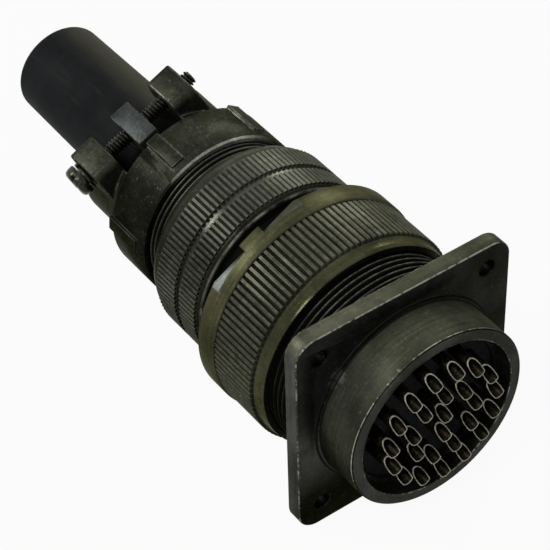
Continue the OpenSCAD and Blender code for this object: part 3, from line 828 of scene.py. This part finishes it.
def nut_tone(paint, x, y, z, r):
    """Painted light and shade, yellower plain bands, a front chamfer painted dark as shade, and
    milled flats with a painted reflection over their bare metal at one end.
    """
    _, along, height = paint.axes(paint.place(turn=(TAB_TURN, 0, 0)))
    front, collar = x.ramp(-16.0, -15.8), x.ramp(-28.1, -28.4)
    # Painted light and shade: the nut is painted lighter towards +Y and darker on its -Y side.
    colour = paint.mix(y.ramp(-4, -18), shade(NUT, 1.2), shade(NUT, 0.72))
    colour = paint.mix(front.larger(collar), colour, NUT_PLAIN)
    # Painted shade: the front chamfer, which faces the flange across the gap, is painted dark.
    colour = paint.mix(x.ramp(-13.6, -13.3), colour, NUT_CHAMFER_SHADE)
    flats = height.size().between(FLAT_HEIGHT, FLAT_HEIGHT, 0.12) * x.ramp(-30.9, -31.2)
    # Bare milled metal with a painted reflection: the flats are painted pale at one end.
    flat_tone = paint.mix(along.ramp(-4.0, -11.0), FLAT_DARK, FLAT_BARE_AND_REFLECTION)
    flat_tone = paint.mix(along.ramp(2.5, 4.5), flat_tone, FLAT_OLIVE)
    return paint.mix((flats * 4.0).smaller(1.0) * 0.9, colour, flat_tone)


wear(
    nut, olive_plating("nut plating", nut_tone, 0.40, [KNURL_ZONE], rub=0.2, bands=[NUT_BAND]),
    worn_edge("nut edges", shade(NUT, 1.5), 0.50, 0.68),
)
print("nut's materials:", len(nut.data.materials))

# %% [markdown]
# ## The back shell's finish
#
# The same plating, painted paler on top than on the left side as painted light and shade. Its front
# end beside the nut is painted dark as shade, and a painted highlight runs along the edge behind
# the nut, over rubbed metal. The plug's own barrel shows only in the gap between the two, and is
# painted dark there as shade.

# %% Tones of the back shell
SHELL, SHELL_RUB_AND_GLINT = (0.040, 0.042, 0.032), (0.115, 0.115, 0.095)
SHELL_NOISE = (0.16, 4.0, 0.6)
SHELL_ZONES = [
    (-44.36, -39.06, 21.62, 22.21, 0.5), (-52.06, -45.96, 21.62, 22.21, 0.5),
    (-67.0, -55.46, 17.5, CLAMP_THREAD_R, 0.95),
]
SHELL_BANDS = [(-39.0, -36.0), (-45.9, -44.4), (-55.4, -52.1)]


def shell_tone(paint, x, y, z, r):
    """Painted light and shade from top to left side, a front end painted dark as shade, and a
    painted highlight on the edge behind the nut.
    """
    # Painted light and shade: paler on top, darker on the -Y side.
    colour = paint.mix(y.ramp(-2, -17), shade(SHELL, 1.5), shade(SHELL, 0.58))
    # Painted shade: the front end beside the nut is painted dark.
    colour = paint.mix(x.ramp(-39.05, -38.9), colour, shade(SHELL, 0.35))
    # Painted highlight over rubbed metal: a broken bright line along the edge behind the nut.
    rubbed = paint.noise(paint.place(), *SHELL_NOISE).ramp(0.40, 0.60) * r.ramp(21.0, 21.1)
    return paint.mix(x.ramp(-38.08, -37.98) * rubbed, colour, SHELL_RUB_AND_GLINT)


def gap_painted_shade(x, y, z):
    """Painted shade over all of the barrel that shows behind the nut."""
    return x.ramp(-60, -50) * 0.95


wear(
    back_shell,
    olive_plating(
        "back shell plating", shell_tone, 0.42, SHELL_ZONES, rub=0.2, bands=SHELL_BANDS
    ),
    worn_edge("back shell edges", shade(SHELL, 1.3), 0.52, 0.70, (0.11, 0.11, 0.09)),
)
plug_barrel = cad_nodes["plug_barrel"]
wear(plug_barrel, olive_plating("plug plating", shade(FLANGE, 0.6), 0.5, painted_shade=gap_painted_shade))
print("back shell's materials:", len(back_shell.data.materials))

# %% [markdown]
# ## The clamp's finish
#
# The castings have the plating too, over a coarser skin without turning lines. The ring is painted
# dark on its left side as painted shade and has a painted glint along its front edge, and the lug
# between the screws has a grey painted highlight.

# %% Tones of the clamp
CAST, LUG_PAINTED_HIGHLIGHT = (0.025, 0.026, 0.019), (0.036, 0.040, 0.039)
RING_PAINTED_GLINT, CLAMP_BARE = (0.27, 0.27, 0.225), (0.13, 0.13, 0.105)


def ring_painted_shade(x, y):
    """Painted shade on the ring's left side."""
    return x.ramp(-73.0, -72.0) * y.ramp(-5, -15)


def clamp_tone(paint, x, y, z, r):
    """Painted shade on one side of the ring, a painted glint on its front edge, and a grey painted
    highlight on the lug between the screws.
    """
    _, across, height = paint.axes(paint.place(turn=(-CLAMP_TURN, 0, 0)))
    # Painted shade: the ring's left side is painted darker.
    colour = paint.mix(ring_painted_shade(x, y), CAST, shade(CAST, 0.4))
    # Painted highlight: a bright glint along the ring's front chamfer.
    front_edge = x.ramp(-61.25, -61.05) * y.ramp(-13, -3) * y.ramp(14, 5)
    colour = paint.mix(front_edge, colour, RING_PAINTED_GLINT)
    # Painted highlight: the lug's top between the screws is painted a bluish grey.
    lug = x.ramp(-73.0, -74.0) * across.size().ramp(4.5, 3.8) * height.ramp(11, 13)
    return paint.mix(lug, colour, LUG_PAINTED_HIGHLIGHT)


def clamp_edge_marks(paint, x, y, z):
    """More wear along the top edges, and painted shade on the ring's left side."""
    return z.ramp(12, 18) * 0.05, ring_painted_shade(x, y) * 0.6


clamp_finishes = (
    olive_plating("clamp plating", clamp_tone, 0.38, cast=True),
    worn_edge("clamp edges", shade(CAST, 1.4), 0.50, 0.68, CLAMP_BARE, clamp_edge_marks),
)
for piece in (clamp_ring, *saddles):
    wear(piece, *clamp_finishes)
print("clamp castings:", 1 + len(saddles))

# %% [markdown]
# ## The rubber bushing
#
# The bushing is matte rubber with faint lengthwise streaks. It is painted paler towards its right
# side, as dust and painted light, and near black as painted shade where it lies in the clamp. A
# noise that is stretched along the axis gives the streaks, and the shader gets only a trace of
# gloss.

# %% Rubber
RUBBER_DARK, RUBBER_PALE = (0.0045, 0.0054, 0.0058), (0.0100, 0.0112, 0.0115)
RUBBER_STREAK, RUBBER_SPECK = (0.019, 0.0195, 0.0185), (0.06, 0.06, 0.058)
DUST_AND_SHEEN, UNDER_CLAMP_SHADE = (0.057, 0.056, 0.034), (0.0015, 0.0015, 0.0014)
STREAK_NOISE, STREAK_STRETCH = (0.9, 4.0, 0.6), (0.12, 1, 1)
CLOUD_NOISE, SPECK_NOISE = (0.09, 4.0, 0.6), (5.0, 2.0, 0.5)


def rubber():
    paint = finish_named("bushing rubber")
    place = paint.place()
    streak = paint.noise(paint.place(stretch=STREAK_STRETCH), *STREAK_NOISE)
    cloud = paint.noise(place, *CLOUD_NOISE)
    grain = paint.noise(place, *SPECK_NOISE)
    x, y, _ = paint.axes(place)
    colour = paint.mix(cloud.ramp(0.3, 0.7), RUBBER_DARK, RUBBER_PALE)
    colour = paint.mix(streak.ramp(0.50, 0.75) * 0.4, colour, RUBBER_STREAK)
    # Dust and painted light: paler and warmer towards +Y.
    colour = paint.mix(y.ramp(-2.5, 7.5) * (streak * 0.6 + 0.4), colour, DUST_AND_SHEEN)
    colour = paint.mix(grain.ramp(0.70, 0.78) * 0.5, colour, RUBBER_SPECK)
    # Painted shade: the bushing is painted near black where it lies in the clamp.
    colour = paint.mix(x.ramp(-87.5, -85.5) * 0.9, colour, UNDER_CLAMP_SHADE)
    return paint.surface(
        Base_Color=colour, Roughness=0.58 + (grain - 0.5) * 0.2, Specular_IOR_Level=0.03,
        Normal=paint.bump(grain + streak, 0.02, 0.5),
    )


bushing = cad_nodes["cable_bushing"]
wear(bushing, rubber())
print("rubber faces:", len(bushing.data.polygons))

# %% [markdown]
# ## The moulded inserts
#
# The discs that hold the contacts are a dull black moulding, a little uneven in tone. One noise
# serves for its tone, its roughness and its fine bumps.

# %% Mouldings
INSERT_DARK, INSERT_PALE = (0.007, 0.0074, 0.008), (0.020, 0.021, 0.022)
INSERT_NOISE = (0.7, 5.0, 0.65)


def moulding():
    paint = finish_named("insert moulding")
    grain = paint.noise(paint.place(), *INSERT_NOISE)
    colour = paint.mix(grain.ramp(0.3, 0.7), INSERT_DARK, INSERT_PALE)
    return paint.surface(
        Base_Color=colour, Roughness=0.65 + (grain - 0.5) * 0.2, Specular_IOR_Level=0.06,
        Normal=paint.bump(grain, 0.015),
    )


insert_moulding = moulding()
inserts = [obj for node, obj in cad_nodes.items() if node.endswith("_insert")]
for insert in inserts:
    wear(insert, insert_moulding)
print("moulded inserts:", len(inserts))

# %% [markdown]
# ## The contacts
#
# The contacts' gilding has gone brown except on the rims of the cups, where it is worn to bright
# metal. Both are one finish with other tones: a metal with a little noise in tone and roughness.

# %% Gilding
GILT_BROWN, GILT_WORN = (0.003, 0.0027, 0.0016), (0.024, 0.020, 0.0105)
RIM_DULL, RIM_BRIGHT = (0.18, 0.175, 0.13), (0.36, 0.35, 0.28)
GILT_NOISE = (1.6, 4.0, 0.6)


def gilding(name, low, high, rough):
    paint = finish_named(name)
    speck = paint.noise(paint.place(), *GILT_NOISE)
    colour = paint.mix(speck.ramp(0.35, 0.7), low, high)
    return paint.surface(
        Base_Color=colour, Roughness=rough + (speck - 0.5) * 0.25, Metallic=0.7,
        Specular_IOR_Level=0.06, Normal=paint.bump(speck, 0.01, 0.5),
    )


dull_gilt = gilding("dull gilding", GILT_BROWN, GILT_WORN, 0.42)
bare_gilt = gilding("bare gilding", RIM_DULL, RIM_BRIGHT, 0.36)
sockets = [obj for node, obj in cad_nodes.items() if node.startswith("socket_contacts")]
for socket in sockets:
    wear(socket, dull_gilt)
for pin in pins:
    wear(pin, dull_gilt, bare_gilt)
print("gilded pieces:", len(sockets) + len(pins))

# %% [markdown]
# ## Screws, washers and rings
#
# Screws, split washers and snap rings are dark plated steel. On the screws, the distance from the
# screw's own axis finds the thread's roots, which hold dirt.

# %% Steel
STEEL, RING_STEEL = (0.034, 0.033, 0.026), (0.05, 0.05, 0.046)
ROOT_DIRT, ROOT_R, NEAR_CREST_R = (0.0025, 0.0025, 0.002), 1.32, 1.72
STEEL_NOISE = (1.4, 5.0, 0.6)


def dark_steel(name, tone, axis_height=None):
    """Plated steel; on a screw the thread's roots hold dirt."""
    paint = finish_named(name)
    speck = paint.noise(paint.place(), *STEEL_NOISE)
    colour = paint.mix(speck.ramp(0.35, 0.7), shade(tone, 0.6), shade(tone, 1.5))
    if axis_height is not None:
        x, _, z = paint.axes(paint.place(turn=(-CLAMP_TURN, 0, 0)))
        deep = 1 - paint.radius(x - SCREW_X, z - axis_height).ramp(ROOT_R, NEAR_CREST_R)
        colour = paint.mix(deep * 0.92, colour, ROOT_DIRT)
    return paint.surface(
        Base_Color=colour, Roughness=0.30 + (speck - 0.5) * 0.3, Metallic=0.8,
        Specular_IOR_Level=0.06, Normal=paint.bump(speck, 0.01, 0.5),
    )


ring_steel = dark_steel("ring steel", RING_STEEL)
screw_steel = dark_steel("screw steel", STEEL)
for snap_ring in (obj for node, obj in cad_nodes.items() if node.endswith("snap_ring")):
    wear(snap_ring, ring_steel)
for washer in washers:
    wear(washer, screw_steel)
for name, height in SCREW_HEIGHTS.items():
    wear(screws[name], dark_steel("screw steel " + name, STEEL, height), screw_steel)
print("materials:", len(bpy.data.materials))

# %% [markdown]
# ## Floor and world
#
# The photograph shows the connector on plain white. The floor is white to the camera and in
# reflections, and matte grey to all other light; a little of the grey is left in the white, so
# that the part keeps a soft shadow. The world is white in the same way, and otherwise only dim.

# %% Floor and world
WHITE, FLOOR_GREY = (1, 1, 1, 1), (0.5, 0.5, 0.5, 1)
FLOOR_SIZE, FLOOR_GAP, FLOOR_WHITE = 3.0, 0.0002, 0.94
SKY_LIGHT = 0.25


def seen_directly(paint):
    """1 for rays that come from the camera, from a reflection or through glass."""
    kinds = ("Is Camera Ray", "Is Glossy Ray", "Is Transmission Ray")
    first, second, third = (paint.add("ShaderNodeLightPath", {}, {}, out=k) for k in kinds)
    return first.larger(second).larger(third)


floor_bm = bmesh.new()
bmesh.ops.create_grid(floor_bm, x_segments=1, y_segments=1, size=FLOOR_SIZE)
bmesh.ops.translate(floor_bm, verts=floor_bm.verts, vec=(0, 0, cad_low.z - FLOOR_GAP))
floor = as_piece(floor_bm, "floor")
floor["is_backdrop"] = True
floor_paint = finish_named("white floor")
white = floor_paint.add("ShaderNodeEmission", {}, {"Color": WHITE, "Strength": 1.0})
matte = floor_paint.add("ShaderNodeBsdfDiffuse", {}, {"Color": FLOOR_GREY})
shown = seen_directly(floor_paint) * FLOOR_WHITE
floor_paint.output(floor_paint.add("ShaderNodeMixShader", {}, {0: shown, 1: matte, 2: white}))
wear(floor, floor_paint.owner)

sky = Paint(bpy.data.worlds.new("studio"))
bpy.context.scene.world = sky.owner
plain = sky.add("ShaderNodeBackground", {}, {"Color": WHITE, "Strength": SKY_LIGHT})
bright = sky.add("ShaderNodeBackground", {}, {"Color": WHITE, "Strength": 1.0})
blend = sky.add("ShaderNodeMixShader", {}, {0: seen_directly(sky), 1: plain, 2: bright})
sky.output(blend, "ShaderNodeOutputWorld")
print("floor lies", round(FLOOR_GAP / MM, 1), "mm under the part")

# %% [markdown]
# ## Lamps
#
# Large, soft lamps give the dark metal its long, quiet highlights: one from the left, one from
# behind on the right, and one over the solder side.

# %% Lamps
def lamp(name, spot, aim, size, power):
    """A square soft lamp at a spot, turned towards a point."""
    data = bpy.data.lights.new(name, "AREA")
    data.size = size
    data.energy = power
    light = bpy.data.objects.new(name, data)
    look = (Vector(aim) - Vector(spot)).to_track_quat("-Z", "Y")
    light.matrix_world = Matrix.Translation(spot) @ look.to_matrix().to_4x4()
    bpy.context.scene.collection.objects.link(light)


lamp("key", spot=(-0.58, -0.52, 0.58), aim=(-0.05, 0, 0), size=0.26, power=4.5)
lamp("rim", spot=(-0.55, 0.66, 0.44), aim=(-0.05, 0, 0), size=0.36, power=2.8)
lamp("front", spot=(0.20, -0.58, 0.70), aim=(-0.03, 0, 0), size=0.26, power=3.4)
bpy.context.scene.view_settings.view_transform = "Standard"
print("lamps:", len(bpy.data.lights))

# %% [markdown]
# ## Sizes and the end
#
# The dressed model's box is measured as well, beside the CAD model's box printed at the start.
# The dressed model has to keep to the CAD model's box.

# %% Finish
low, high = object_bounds()
